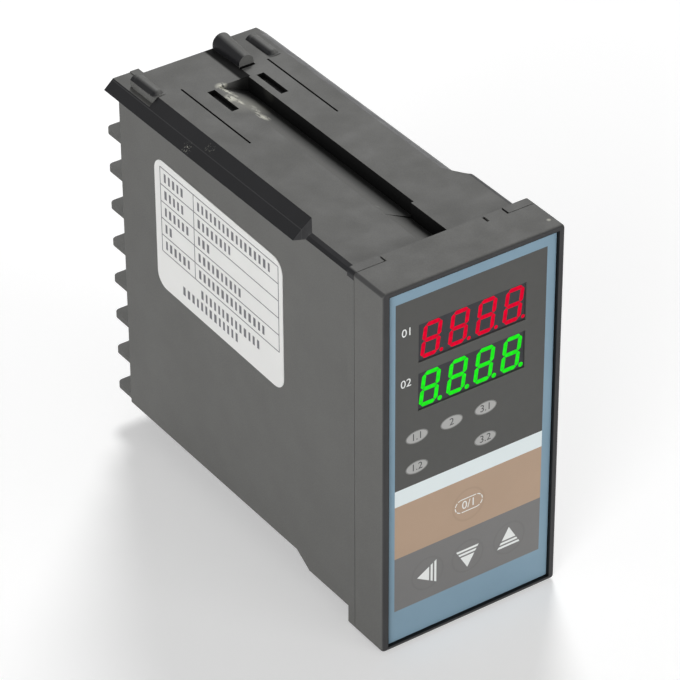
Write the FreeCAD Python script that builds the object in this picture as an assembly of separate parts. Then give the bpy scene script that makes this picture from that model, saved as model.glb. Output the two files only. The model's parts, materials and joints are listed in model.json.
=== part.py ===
"""Panel-mounted PID temperature controller, 48 x 96 mm front, with a draw-out electronics unit.

Axes: X to the right seen from the front, Y from the front to the rear, Z up.
Origin: centre of the rear face of the case flange, the face that seats on the control panel.
All lengths are in millimetres.
"""
import FreeCAD, Part
import math
import os

V = FreeCAD.Vector
X_AXIS = V(1, 0, 0)
Y_AXIS = V(0, 1, 0)
Z_AXIS = V(0, 0, 1)
ORIGIN = V(0, 0, 0)

# how far a cutter passes a face, how near counts as equal, and the sides of a small hidden bar
over = 1.0
tolerance = 1e-6
hidden_bar_sides = 12

# ---------------------------------------------------------------- driving dimensions
# front bezel and the flange behind it
front_width = 48.0
front_height = 96.0
front_corner_radius = 1.0
bezel_depth = 10.5
bezel_edge_radius = 0.8
bezel_side_rim = 1.7
bezel_end_rim = 1.2
bezel_wall = 1.8
bezel_cavity_wall = 1.8
sheet_recess = 0.8
flange_thickness = 2.5
seam_gap = 0.2

# tongues that run from the bezel over the flange
tongue_left = 15.6
tongue_right = 16.2
tongue_thickness = 1.4
tongue_side_gap = 0.5
tongue_rear_gap = 0.3
tongue_under_gap = 0.2
tongue_notch_x = 11.1
tongue_notch_width = 0.7
tongue_notch_length = 2.0

# case body behind the panel
case_width = 44.8
case_height = 92.0
case_side_depth = 93.4
case_top_overhang = 2.0
deck_overhang = 4.4
case_side_wall = 1.8
case_end_wall = 2.0
front_corner_x = 1.7
front_corner_z = 1.0
relief_x = 5.0
relief_z = 4.0
relief_bulge = 0.12
relief_ramp_start = 17.8
relief_ramp_end = 22.8

# channel along the middle of the top and bottom
channel_left = 3.65
channel_front_right = 3.65
channel_rear_right = 4.4
channel_jog_y = 15.4
channel_end_setback = 13.1
channel_left_depth = 0.25
channel_depth = 4.0
channel_roof_wall = 1.5
channel_roof_margin = 1.3

# slots for the mounting bracket
slot_shift = 0.5
long_slot_x = 11.8
long_slot_width = 0.5
long_slot_setback = 9.2
long_slot_length = 28.4
slot_depth = 1.2
short_slot_x = 6.7
short_slot_width = 2.0
short_slot_setback = 13.7
short_slot_length = 10.2

# rear corner decks and the ridges on the top that hold the mounting bracket
deck_drop = 1.5
left_deck_inner = 13.0
right_deck_inner = 12.4
left_shelf_inner = 15.3
left_shelf_drop = 1.75
ridge_x = 6.85
ridge_rear_half_width = 2.45
ridge_front_half_width = 1.95
ridge_rear_rise = 3.5
ridge_front_rise = 2.5
ridge_length = 10.4
ridge_rear_inset = 0.2
ridge_front_gap = 1.0
low_ridge_left_x = 16.8
low_ridge_right_x = 14.7
low_ridge_half_width = 1.75
low_ridge_rear_rise = 1.0
low_ridge_front_rise = 0.25
low_ridge_length = 10.0
low_ridge_rear_inset = 1.0

# guide ribs for the circuit boards
board_thickness = 1.6
board_slide_gap = 0.15
guide_rib_width = 1.0
guide_rib_height = 1.5
guide_rib_front_y = 4.0
guide_rib_setback = 13.4

# rear terminal block
terminal_rows = 8
barrier_pitch = 10.24
barrier_thickness = 1.4
lowest_barrier_top = -39.5
barrier_tip_radius = 1.5
block_floor_setback = 4.1
block_base_thickness = 3.3
block_fit_gap = 0.1
block_spine_half_width = 6.0
block_notch_depth = 4.5
terminal_x = 16.2
terminal_pad_size = 7.4
terminal_pad_thickness = 0.8
clamp_size = 6.6
clamp_thickness = 0.8
screw_head_radius = 2.9
screw_head_height = 2.2
screw_shank_radius = 1.5
screw_shank_length = 3.6
screw_hole_gap = 0.03
screw_slot_width = 0.8
screw_slot_depth = 1.0
screw_thread_depth = 2.6
contact_blade_width = 3.6
contact_blade_thickness = 0.6
contact_reach = 6.0
contact_grip_gap = 0.05

# front sheet, displays and keys
sheet_thickness = 0.3
sheet_edge_gap = 0.12
sheet_corner_radius = 0.6
window_width = 28.5
window_shift = 0.1
window_height = 9.75
upper_display_z = 31.5
lower_display_z = 18.9
module_side_margin = 0.75
module_end_margin = 0.9
module_depth = 7.2
module_fit_gap = 0.1
digit_count = 4
digit_pitch = 7.25
digit_height = 8.9
digit_width = 4.95
digit_lean_deg = 7.3
upper_digit_shift = 0.3
lower_digit_shift = 0.0
segment_width = 1.05
segment_gap = 0.16
segment_depth = 0.4
upper_point_radius = 0.5
lower_point_radius = 0.62
point_x = 3.15
point_z = 3.95
indicator_row_z = 7.4
indicator_second_row_z = -0.8
indicator_left_x = -14.4
indicator_middle_x = -5.15
indicator_right_x = 4.05
indicator_half_length = 2.9
indicator_half_height = 1.6
led_radius = 1.5
led_height = 5.3
led_tip_radius = 0.8
led_tip_height = 0.9
key_spacing = 11.3
set_key_z = -16.9
arrow_key_z = -31.1
key_radius = 3.0
key_guide_gap = 0.1
key_collar_size = 8.0
key_collar_height = 0.9
key_film_gap = 0.06
key_wall_gap = 0.08
key_travel = 0.25
switch_size = 6.0
switch_height = 3.6
switch_pin_size = 3.2
switch_pin_gap = 0.05
switch_pin_depth = 1.3
switch_overtravel = 0.15

# circuit boards and what they carry
display_board_side_gap = 0.4
main_board_x = 14.2
side_board_setback = 10.9
side_board_end_gap = 0.7
board_joint_gap = 0.1
boss_x = 18.0
boss_z = 39.0
boss_size = 4.2
small_screw_radius = 1.0
small_screw_head_radius = 1.9
small_screw_head_height = 1.3
small_screw_length = 6.0
header_width = 2.5
header_length = 50.0
transformer_width = 21.0
transformer_leg = 5.7
transformer_height = 34.0
transformer_depth = 28.0
transformer_spacer_gap = 0.0
transformer_z = -20.0
winding_margin = 5.0
winding_overhang = 1.6
relay_width = 10.2
relay_height = 15.6
relay_depth = 19.0
relay_setback = 16.5
relay_edge_radius = 0.6
relay_upper_z = 28.0
relay_lower_z = 6.0
capacitor_radius = 5.0
capacitor_length = 16.0
capacitor_groove_offset = 2.0
capacitor_groove_width = 0.8
capacitor_groove_depth = 0.4
capacitor_y = 18.0
capacitor_z = 27.0
small_capacitor_radius = 3.15
small_capacitor_length = 11.0
small_capacitor_z = 13.0
chip_width = 14.0
chip_length = 52.0
chip_thickness = 4.4
chip_notch_radius = 1.0
chip_notch_depth = 0.5
chip_spacer_gap = 7.0
chip_z = 12.0
memory_width = 6.4
memory_length = 9.6
memory_thickness = 3.4
memory_z = -14.0
amplifier_z = -30.0
amplifier_spacer_gap = 3.8
fuse_radius = 2.6
fuse_length = 20.0
fuse_transformer_gap = 3.4
fuse_z = -30.0
varistor_radius = 5.0
varistor_thickness = 3.6
varistor_spacer_gap = 5.0
varistor_z = -36.0
spacer_relay_gap = 3.5
spacer_length = 5.0
spacer_height = 8.0
spacer_pin_radius = 1.2
spacer_pin_gap = 0.03

# rating label on the left wall
label_thickness = 0.12
label_length = 45.5
label_setback = 13.9
label_top_z = 33.5
label_height = 32.0
label_corner_radius = 4.0

# ---------------------------------------------------------------- derived places
half_front_width = front_width / 2
half_front_height = front_height / 2
half_case_width = case_width / 2
half_case_height = case_height / 2
case_top_depth = case_side_depth + case_top_overhang
case_full_depth = case_top_depth + deck_overhang
channel_end_y = case_side_depth - channel_end_setback
guide_rib_rear_y = case_side_depth - guide_rib_setback
side_board_rear_y = case_side_depth - side_board_setback
block_floor_y = case_side_depth - block_floor_setback
relay_y = side_board_rear_y - relay_setback
spacer_y = relay_y - relay_depth / 2 - spacer_relay_gap - spacer_length / 2
spacer_front_y = spacer_y - spacer_length / 2
spacer_rear_y = spacer_y + spacer_length / 2
transformer_y = spacer_front_y - transformer_spacer_gap - transformer_depth / 2
chip_y = spacer_front_y - chip_spacer_gap - chip_width / 2
amplifier_y = spacer_rear_y + amplifier_spacer_gap + memory_width / 2
fuse_y = transformer_y - transformer_depth / 2 - fuse_transformer_gap - fuse_radius
varistor_y = spacer_rear_y + varistor_spacer_gap
label_rear_y = case_side_depth - label_setback
ridge_rear_y = case_top_depth - ridge_rear_inset
ridge_front_y = ridge_rear_y - ridge_length
low_ridge_rear_y = case_top_depth - low_ridge_rear_inset
low_ridge_front_y = low_ridge_rear_y - low_ridge_length
flange_front_y = -flange_thickness
bezel_rear_y = flange_front_y - seam_gap
bezel_front_y = bezel_rear_y - bezel_depth
sheet_front_y = bezel_front_y + sheet_recess
sheet_rear_y = sheet_front_y + sheet_thickness
wall_rear_y = sheet_rear_y + bezel_wall
board_front_y = sheet_rear_y + module_depth
board_rear_y = board_front_y + board_thickness
side_board_front_y = board_rear_y + board_joint_gap
inner_half_width = half_case_width - case_side_wall
inner_half_height = half_case_height - case_end_wall
roof_half_height = half_case_height - channel_depth - channel_roof_wall
side_wall_top_z = half_case_height - relief_z
deck_z = half_case_height - deck_drop


# ---------------------------------------------------------------- helpers
def box(x0, x1, y0, y1, z0, z1):
    """Solid block between two corners."""
    return Part.makeBox(x1 - x0, y1 - y0, z1 - z0, V(x0, y0, z0))


def rod(radius, start, end):
    """Solid cylinder between two points."""
    return Part.makeCylinder(radius, end.sub(start).Length, start, end.sub(start))


def hidden_bar(radius, start, end):
    """Slim bar between two points with a few flat sides, for shanks, pins and their holes inside."""
    axis = end.sub(start)
    first = Z_AXIS.cross(axis) if abs(axis.x) + abs(axis.y) > tolerance else X_AXIS
    first.normalize()
    second = axis.cross(first)
    second.normalize()
    corners = []
    for i in range(hidden_bar_sides):
        angle = 2 * math.pi * i / hidden_bar_sides
        corners.append(start + first * (radius * math.cos(angle)) + second * (radius * math.sin(angle)))
    return Part.Face(Part.makePolygon(corners + corners[:1])).extrude(axis)


def arch_wire(center_x, base_z, half_width, rise, y):
    """Closed outline of a round-topped ridge, seen along Y."""
    spring_z = base_z + max(rise - half_width, 0.0)
    left = V(center_x - half_width, y, spring_z)
    top = V(center_x, y, base_z + rise)
    right = V(center_x + half_width, y, spring_z)
    edges = [Part.Arc(left, top, right).toShape()]
    foot_z = base_z - deck_drop
    foot_right = V(center_x + half_width, y, foot_z)
    foot_left = V(center_x - half_width, y, foot_z)
    edges.append(Part.makeLine(right, foot_right))
    edges.append(Part.makeLine(foot_right, foot_left))
    edges.append(Part.makeLine(foot_left, left))
    return Part.Wire(edges)


def face_xz(points, y):
    """Flat face through (x, z) points at depth y."""
    corners = [V(x, y, z) for x, z in points]
    return Part.Face(Part.makePolygon(corners + corners[:1]))


def prism_y(points, y0, y1):
    """Section given by (x, z) points, run from y0 to y1."""
    return face_xz(points, y0).extrude(V(0, y1 - y0, 0))


def loft_y(points_a, y_a, points_b, y_b):
    """Straight loft between two (x, z) sections with the same number of points."""
    wires = []
    for points, y in ((points_a, y_a), (points_b, y_b)):
        corners = [V(x, y, z) for x, z in points]
        wires.append(Part.makePolygon(corners + corners[:1]))
    return Part.makeLoft(wires, True, True)


def rounded_plate_y(half_x, half_z, y0, y1, radius):
    """Plate in the XZ plane with its four corners rounded."""
    plate = box(-half_x, half_x, y0, y1, -half_z, half_z)
    edges = [e for e in plate.Edges if is_along(e, Y_AXIS)]
    return plate.makeFillet(radius, edges)


def is_along(edge, axis):
    """True for a straight edge parallel to an axis."""
    if edge.Curve.TypeId != "Part::GeomLine":
        return False
    return edge.tangentAt(edge.FirstParameter).cross(axis).Length < tolerance


def mirror_x(shape):
    """Copy mirrored to the other side in X."""
    return shape.mirror(ORIGIN, X_AXIS)


def mirror_z(shape):
    """Copy mirrored between top and bottom."""
    return shape.mirror(ORIGIN, Z_AXIS)


def fuse_all(shapes):
    """One shape from several that touch or overlap."""
    if len(shapes) == 1:
        return shapes[0]
    return shapes[0].multiFuse(shapes[1:]).removeSplitter()


def group(shapes):
    """Separate solids kept together in one node."""
    return Part.makeCompound(shapes)


# ---------------------------------------------------------------- case
def corner_section(width, height, bulge):
    """Cutter section for one long edge: two shallow facets, seen from the front at +X, +Z."""
    mid_x = half_case_width - width / 2 + bulge
    mid_z = half_case_height - height / 2 + bulge
    return [
        (half_case_width, half_case_height - height),
        (mid_x, mid_z),
        (half_case_width - width, half_case_height),
        (half_case_width - width, half_case_height + over),
        (half_case_width + over, half_case_height + over),
        (half_case_width + over, half_case_height - height),
    ]


def corner_relief():
    """All that is cut from the long edge at +X, +Z: a small chamfer that ramps to a wide one."""
    small = corner_section(front_corner_x, front_corner_z, relief_bulge)
    wide = corner_section(relief_x, relief_z, relief_bulge)
    ramp = loft_y(small, relief_ramp_start, wide, relief_ramp_end)
    return fuse_all([
        prism_y(small, 0, relief_ramp_start),
        ramp,
        prism_y(wide, relief_ramp_end, case_full_depth),
    ])


def cavity_section(gap):
    """Inside of the case, stepped in under the channels, drawn in by a gap, as (x, z) points."""
    side_x = inner_half_width - gap
    corner_x = half_case_width - relief_x - gap / 2
    corner_z = side_wall_top_z - case_end_wall / 2 - gap
    top_z = inner_half_height - gap
    roof_z = roof_half_height - gap
    roof_left = channel_left + channel_roof_margin + gap
    roof_right = channel_rear_right + channel_roof_margin + gap
    upper = [
        (-side_x, corner_z),
        (-corner_x, top_z),
        (-roof_left, top_z),
        (-roof_left, roof_z),
        (roof_right, roof_z),
        (roof_right, top_z),
        (corner_x, top_z),
        (side_x, corner_z),
    ]
    lower = [(x, -z) for x, z in reversed(upper)]
    return upper + lower


def channel_section(right_x):
    """Sloped floor that falls to an upright wall on the right."""
    top = half_case_height
    above = half_case_height + over
    return [
        (-channel_left, above),
        (-channel_left, top - channel_left_depth),
        (right_x, top - channel_depth),
        (right_x, above),
    ]


def top_cuts():
    """Channel and bracket slots in the top."""
    top = half_case_height
    cuts = [
        prism_y(channel_section(channel_front_right), 0, channel_jog_y),
        prism_y(channel_section(channel_rear_right), channel_jog_y, channel_end_y),
    ]
    for side in (-1, 1):
        for offset, width, setback, length in (
                (long_slot_x, long_slot_width, long_slot_setback, long_slot_length),
                (short_slot_x, short_slot_width, short_slot_setback, short_slot_length)):
            x = slot_shift + side * offset
            rear = case_side_depth - setback
            cuts.append(box(x - width / 2, x + width / 2, rear - length, rear, top - slot_depth, top + over))
    return group(cuts)


def ridge(center_x, rear, front, y0, y1):
    """Round-topped ridge on the top face; rear and front give its half width and its rise."""
    wires = [arch_wire(center_x, half_case_height, front[0], front[1], y0),
             arch_wire(center_x, half_case_height, rear[0], rear[1], y1)]
    return Part.makeLoft(wires, True, True)


def top_ridges():
    """The tall ridge beside the channel and the two low ones near the edges; all sink towards the front."""
    tall_rear = (ridge_rear_half_width, ridge_rear_rise)
    tall_front = (ridge_front_half_width, ridge_front_rise)
    low_rear = (low_ridge_half_width, low_ridge_rear_rise)
    low_front = (low_ridge_half_width, low_ridge_front_rise)
    ridges = [ridge(ridge_x, tall_rear, tall_front, ridge_front_y, ridge_rear_y)]
    for x in (-low_ridge_left_x, low_ridge_right_x):
        ridges.append(ridge(x, low_rear, low_front, low_ridge_front_y, low_ridge_rear_y))
    return ridges


def ridge_groove():
    """Narrow groove across the front end of the tall ridge."""
    return box(channel_rear_right, ridge_x + ridge_front_half_width, ridge_front_y - ridge_front_gap,
               ridge_front_y, half_case_height - slot_depth, half_case_height + over)


def left_shelf():
    """Space over the shelf that lies outside the left low ridge, down to the crease of the chamfer."""
    return box(-half_case_width - over, -left_shelf_inner, low_ridge_front_y, case_full_depth + over,
               half_case_height - left_shelf_drop, half_case_height + over)


def board_guides():
    """Rib pairs on roof and floor that hold the two upright boards."""
    ribs = []
    for side in (-1, 1):
        for offset in (-1, 1):
            near = board_thickness / 2 + board_slide_gap
            far = near + guide_rib_width
            x0, x1 = sorted((side * main_board_x + offset * near, side * main_board_x + offset * far))
            rib = box(x0, x1, guide_rib_front_y, guide_rib_rear_y,
                      inner_half_height - guide_rib_height, inner_half_height + case_end_wall / 2)
            ribs.append(rib)
            ribs.append(mirror_z(rib))
    return ribs


def case_shell():
    """Moulded sleeve with its panel flange, open at the front and closed at the rear by the block."""
    body = box(-half_case_width, half_case_width, 0, case_full_depth, -half_case_height, half_case_height)
    relief = corner_relief()
    for cutter in (relief, mirror_x(relief), mirror_z(relief), mirror_x(mirror_z(relief))):
        body = body.cut(cutter)
    flange = rounded_plate_y(half_front_width, half_front_height, flange_front_y, 0, front_corner_radius)
    body = body.cut(left_shelf())
    body = fuse_all([body, flange] + top_ridges())
    body = body.cut(ridge_groove())
    body = body.cut(prism_y(cavity_section(0.0), flange_front_y - over, case_side_depth))
    # rear end: side walls stop first, then the middle of the top, and the corner decks reach furthest
    far = case_full_depth + over
    side_x = half_case_width + over
    top_z = half_case_height + over
    body = body.cut(box(-side_x, side_x, case_side_depth, far, -top_z, side_wall_top_z))
    body = body.cut(box(-left_deck_inner, right_deck_inner, case_top_depth, far, 0, top_z))
    body = body.cut(box(-side_x, side_x, case_top_depth, far, deck_z, top_z))
    channels = top_cuts()
    body = body.cut(channels)
    body = body.cut(mirror_z(channels))
    tongue = tongue_shape(tongue_side_gap, tongue_under_gap, over)
    body = body.cut(tongue)
    body = body.cut(mirror_z(tongue))
    return fuse_all([body] + board_guides())


# ---------------------------------------------------------------- bezel
def tongue_shape(side_gap, under_gap, extra):
    """Tongue over the flange, or with gaps the space it needs."""
    return box(-tongue_left - side_gap, tongue_right + side_gap,
               bezel_rear_y - over, extra - tongue_rear_gap,
               half_front_height - tongue_thickness - under_gap, half_front_height + extra)


def key_places():
    """Name and (x, z) of each key."""
    return [
        ("set", 0.0, set_key_z),
        ("shift", -key_spacing, arrow_key_z),
        ("down", 0.0, arrow_key_z),
        ("up", key_spacing, arrow_key_z),
    ]


def indicator_places():
    """Centre (x, z) of each indicator light."""
    return [
        (indicator_left_x, indicator_row_z),
        (indicator_middle_x, indicator_row_z),
        (indicator_right_x, indicator_row_z),
        (indicator_left_x, indicator_second_row_z),
        (indicator_right_x, indicator_second_row_z),
    ]


def window_block(center_z, gap, y0, y1):
    """Block as wide and high as a display window, with a gap all round."""
    half_x = window_width / 2 + gap
    half_z = window_height / 2 + gap
    return box(window_shift - half_x, window_shift + half_x, y0, y1, center_z - half_z, center_z + half_z)


def front_bezel():
    """Front frame with its sheet recess, display and key openings, screw bosses and tongues."""
    body = rounded_plate_y(half_front_width, half_front_height, bezel_front_y, bezel_rear_y,
                           front_corner_radius)
    front_edges = [e for e in body.Edges if e.BoundBox.YMax < bezel_front_y + tolerance]
    body = body.makeFillet(bezel_edge_radius, front_edges)
    recess_x = half_front_width - bezel_side_rim
    recess_z = half_front_height - bezel_end_rim
    body = body.cut(box(-recess_x, recess_x, bezel_front_y - over, sheet_rear_y, -recess_z, recess_z))
    cavity_x = half_front_width - bezel_cavity_wall
    cavity_z = half_front_height - bezel_cavity_wall
    body = body.cut(box(-cavity_x, cavity_x, wall_rear_y, bezel_rear_y + over, -cavity_z, cavity_z))
    cuts = []
    for z in (upper_display_z, lower_display_z):
        cuts.append(window_block(z, module_fit_gap, sheet_rear_y - over, wall_rear_y + over))
    for x, z in indicator_places():
        cuts.append(box(x - indicator_half_length, x + indicator_half_length, sheet_rear_y - over,
                        wall_rear_y + over, z - indicator_half_height, z + indicator_half_height))
    for _, x, z in key_places():
        cuts.append(rod(key_radius + key_guide_gap, V(x, sheet_rear_y - over, z),
                        V(x, wall_rear_y + over, z)))
    body = body.cut(group(cuts))
    pieces = [body]
    for x in (-boss_x, boss_x):
        for z in (-boss_z, boss_z):
            boss = box(x - boss_size / 2, x + boss_size / 2, wall_rear_y, board_front_y, z - boss_size / 2,
                       z + boss_size / 2)
            hole = hidden_bar(small_screw_radius + screw_hole_gap, V(x, board_rear_y - small_screw_length, z),
                              V(x, board_front_y, z))
            pieces.append(boss.cut(hole))
    tongue = tongue_shape(0.0, 0.0, 0.0)
    notch_half = tongue_notch_width / 2
    tongue = tongue.cut(box(tongue_notch_x - notch_half, tongue_notch_x + notch_half, bezel_rear_y,
                            bezel_rear_y + tongue_notch_length,
                            half_front_height - tongue_thickness / 2, half_front_height + over))
    pieces.append(tongue)
    pieces.append(mirror_z(tongue))
    return fuse_all(pieces)


def front_sheet():
    """Printed plastic sheet with its two display windows."""
    half_x = half_front_width - bezel_side_rim - sheet_edge_gap
    half_z = half_front_height - bezel_end_rim - sheet_edge_gap
    sheet = rounded_plate_y(half_x, half_z, sheet_front_y, sheet_rear_y, sheet_corner_radius)
    for z in (upper_display_z, lower_display_z):
        sheet = sheet.cut(window_block(z, 0.0, sheet_front_y - over, sheet_rear_y + over))
    return sheet


# ---------------------------------------------------------------- displays
def lean(x, z):
    """Slant of the digits about their middle height."""
    return x + z * math.tan(math.radians(digit_lean_deg)), z


def bar_points(x0, z0, x1, z1):
    """Pointed bar from one end to the other, before the lean."""
    length = math.hypot(x1 - x0, z1 - z0)
    ux, uz = (x1 - x0) / length, (z1 - z0) / length
    half = segment_width / 2
    start = segment_gap / 2
    run = [(start, 0), (start + half, half), (length - start - half, half), (length - start, 0),
           (length - start - half, -half), (start + half, -half)]
    return [(x0 + ux * a - uz * b, z0 + uz * a + ux * b) for a, b in run]


def digit_bars():
    """The seven bars of a digit, centred on its middle, as lists of (x, z) points."""
    w = (digit_width - segment_width) / 2
    h = (digit_height - segment_width) / 2
    ends = [(-w, h, w, h), (-w, 0, w, 0), (-w, -h, w, -h),
            (-w, 0, -w, h), (w, 0, w, h), (-w, -h, -w, 0), (w, -h, w, 0)]
    return [bar_points(*e) for e in ends]


def digit_segments(shift, center_z, point_radius):
    """Light bars and points of a four-digit display, set into the face of its module."""
    solids = []
    for index in range(digit_count):
        center_x = (index - (digit_count - 1) / 2) * digit_pitch + shift
        for points in digit_bars():
            section = [lean(x, z) for x, z in points]
            placed = [(center_x + x, center_z + z) for x, z in section]
            solids.append(prism_y(placed, sheet_rear_y, sheet_rear_y + segment_depth))
        px, pz = lean(point_x, -point_z)
        solids.append(hidden_bar(point_radius, V(center_x + px, sheet_rear_y, center_z + pz),
                                 V(center_x + px, sheet_rear_y + segment_depth, center_z + pz)))
    return group(solids)


def display_module(center_z, segments):
    """Housing of a four-digit display: a face that fills the window and a wider body behind the wall."""
    half_x = window_width / 2 + module_side_margin
    half_z = window_height / 2 + module_end_margin
    face = window_block(center_z, 0.0, sheet_rear_y, wall_rear_y + module_fit_gap)
    body = box(window_shift - half_x, window_shift + half_x, wall_rear_y + module_fit_gap, board_front_y,
               center_z - half_z, center_z + half_z)
    return face.fuse(body).removeSplitter().cut(segments)


def indicator_leds():
    """Five small round lights standing on the display board."""
    lights = []
    shoulder_y = board_front_y - led_height + led_tip_height
    for x, z in indicator_places():
        straight = rod(led_radius, V(x, board_front_y, z), V(x, shoulder_y, z))
        tip = Part.makeCone(led_radius, led_tip_radius, led_tip_height, V(x, shoulder_y, z), -Y_AXIS)
        lights.append(fuse_all([straight, tip]))
    return group(lights)


# ---------------------------------------------------------------- keys
def key_rear_y():
    """Where the key meets the pin of its switch."""
    return wall_rear_y + key_wall_gap + key_collar_height


def key_plunger(x, z):
    """Round key that slides in the wall behind the sheet, kept in by its collar."""
    post = rod(key_radius, V(x, sheet_rear_y + key_film_gap, z), V(x, key_rear_y(), z))
    half = key_collar_size / 2
    collar = box(x - half, x + half, wall_rear_y + key_wall_gap, key_rear_y(), z - half, z + half)
    return post.fuse(collar).removeSplitter()


def switch_front_y():
    return board_front_y - switch_height


def switch_pin(x, z):
    """Moving pin of a push switch."""
    half = switch_pin_size / 2
    return box(x - half, x + half, key_rear_y(), switch_front_y() + switch_pin_depth, z - half, z + half)


def switch_bodies():
    """Housings of the four push switches, each bored for its pin."""
    housings = []
    for _, x, z in key_places():
        half = switch_size / 2
        housing = box(x - half, x + half, switch_front_y(), board_front_y, z - half, z + half)
        bore_end = switch_front_y() + switch_pin_depth + key_travel + switch_overtravel
        half = switch_pin_size / 2 + switch_pin_gap
        housings.append(housing.cut(box(x - half, x + half, switch_front_y() - over, bore_end, z - half,
                                        z + half)))
    return group(housings)


# ---------------------------------------------------------------- boards
def display_board():
    """Upright board behind the front, with screw holes."""
    half_x = half_front_width - bezel_cavity_wall - display_board_side_gap
    half_z = half_front_height - bezel_cavity_wall - display_board_side_gap
    board = rounded_plate_y(half_x, half_z, board_front_y, board_rear_y, sheet_corner_radius)
    for x in (-boss_x, boss_x):
        for z in (-boss_z, boss_z):
            board = board.cut(hidden_bar(small_screw_radius + screw_hole_gap, V(x, board_front_y - over, z),
                                         V(x, board_rear_y + over, z)))
    return board


def display_board_screws():
    """Four self-tapping screws that hold the display board to the bezel."""
    screws = []
    for x in (-boss_x, boss_x):
        for z in (-boss_z, boss_z):
            tip = V(x, board_rear_y - small_screw_length, z)
            seat = V(x, board_rear_y, z)
            head_end = V(x, board_rear_y + small_screw_head_height, z)
            head = rod(small_screw_head_radius, seat, head_end)
            screws.append(hidden_bar(small_screw_radius, tip, seat).fuse(head))
    return group(screws)


def side_board(side):
    """Long board that stands in the guide ribs and plugs into the rear contacts."""
    x = side * main_board_x
    half_t = board_thickness / 2
    half_z = inner_half_height - side_board_end_gap
    board = box(x - half_t, x + half_t, side_board_front_y, side_board_rear_y, -half_z, half_z)
    # front corners step back from the screw heads of the display board
    step_y = board_rear_y + small_screw_head_height + board_joint_gap * 2
    near, far = x - board_thickness, x + board_thickness
    corner_z = boss_z - small_screw_head_radius - over
    for z0, z1 in ((corner_z, half_z + over), (-half_z - over, -corner_z)):
        board = board.cut(box(near, far, side_board_front_y - over, step_y, z0, z1))
    for y, z in spacer_pins():
        board = board.cut(hidden_bar(spacer_pin_radius + spacer_pin_gap, V(near, y, z), V(far, y, z)))
    return board


def spacer_pins():
    """(y, z) of the pins that tie the two long boards together."""
    top = inner_half_height - spacer_height
    return [(spacer_y, top), (spacer_y, -top)]


def board_spacers():
    """Two moulded bars between the long boards, with a pin at each end."""
    bars = []
    for y, z in spacer_pins():
        half = spacer_length / 2
        inner = main_board_x - board_thickness / 2
        bar = box(-inner, inner, y - half, y + half, z - half, z + half)
        pin = hidden_bar(spacer_pin_radius, V(-main_board_x - board_thickness, y, z),
                         V(main_board_x + board_thickness, y, z))
        bars.append(bar.fuse(pin).removeSplitter())
    return group(bars)


def link_headers():
    """Pin headers that join each long board to the display board."""
    headers = []
    for side in (-1, 1):
        inner = side * (main_board_x - board_thickness / 2)
        x0, x1 = sorted((inner, inner - side * header_width))
        headers.append(box(x0, x1, board_rear_y, board_rear_y + header_width, -header_length / 2,
                           header_length / 2))
    return group(headers)


# ---------------------------------------------------------------- components on the boards
power_face_x = main_board_x - board_thickness / 2
logic_face_x = -main_board_x + board_thickness / 2


def transformer_core():
    """Laminated E-I core with its two winding windows."""
    x1 = power_face_x - winding_overhang
    x0 = x1 - transformer_width + 2 * winding_overhang
    half_y = transformer_depth / 2
    half_z = transformer_height / 2
    core = box(x0, x1, transformer_y - half_y, transformer_y + half_y, transformer_z - half_z,
               transformer_z + half_z)
    leg = transformer_leg
    for z0, z1 in ((transformer_z + leg, transformer_z + 2 * leg),
                   (transformer_z - 2 * leg, transformer_z - leg)):
        core = core.cut(box(x0 - over, x1 + over, transformer_y - half_y + winding_margin,
                            transformer_y + half_y - winding_margin, z0, z1))
    return core


def transformer_winding():
    """Coil former and winding around the middle leg."""
    x1 = power_face_x
    x0 = x1 - transformer_width
    leg = transformer_leg
    half_y = transformer_depth / 2 - winding_margin
    outer = box(x0, x1, transformer_y - half_y, transformer_y + half_y, transformer_z - 2 * leg,
                transformer_z + 2 * leg)
    core_x0 = x0 + winding_overhang
    core_x1 = x1 - winding_overhang
    middle = box(core_x0, core_x1, transformer_y - half_y - over, transformer_y + half_y + over,
                 transformer_z - leg, transformer_z + leg)
    return outer.cut(middle)


def relay(z):
    """Sealed relay on the power board."""
    half_z = relay_height / 2
    half_y = relay_depth / 2
    body = box(power_face_x - relay_width, power_face_x, relay_y - half_y, relay_y + half_y, z - half_z,
               z + half_z)
    far_edges = [e for e in body.Edges if e.BoundBox.XMax < power_face_x - relay_width + tolerance]
    return body.makeFillet(relay_edge_radius, far_edges)


def can_capacitor(radius, length, y, z):
    """Electrolytic capacitor lying out from the power board, with its rim groove."""
    base = V(power_face_x, y, z)
    top = V(power_face_x - length, y, z)
    groove_start = V(power_face_x - capacitor_groove_offset, y, z)
    groove_end = groove_start - X_AXIS * capacitor_groove_width
    ring = rod(radius + over, groove_start, groove_end)
    ring = ring.cut(rod(radius - capacitor_groove_depth, groove_start, groove_end))
    return rod(radius, base, top).cut(ring)


def chip(y, z, width, length, thickness):
    """Moulded chip on the logic board, long way along Z, with its end notch."""
    body = box(logic_face_x, logic_face_x + thickness, y - width / 2, y + width / 2, z - length / 2,
               z + length / 2)
    face_x = logic_face_x + thickness
    notch = hidden_bar(chip_notch_radius, V(face_x - chip_notch_depth, y, z + length / 2),
                       V(face_x + over, y, z + length / 2))
    return body.cut(notch)


def fuse_link():
    """Cartridge fuse with metal end caps, upright in its clips' place on the power board."""
    x = power_face_x - fuse_radius
    half = fuse_length / 2
    return rod(fuse_radius, V(x, fuse_y, fuse_z - half), V(x, fuse_y, fuse_z + half))


def varistor():
    """Disc-shaped surge absorber on the power board."""
    x0 = power_face_x - 2 * varistor_radius
    center = V(x0 + varistor_radius, varistor_y, varistor_z)
    end = V(x0 + varistor_radius, varistor_y + varistor_thickness, varistor_z)
    return rod(varistor_radius, center, end)


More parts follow.
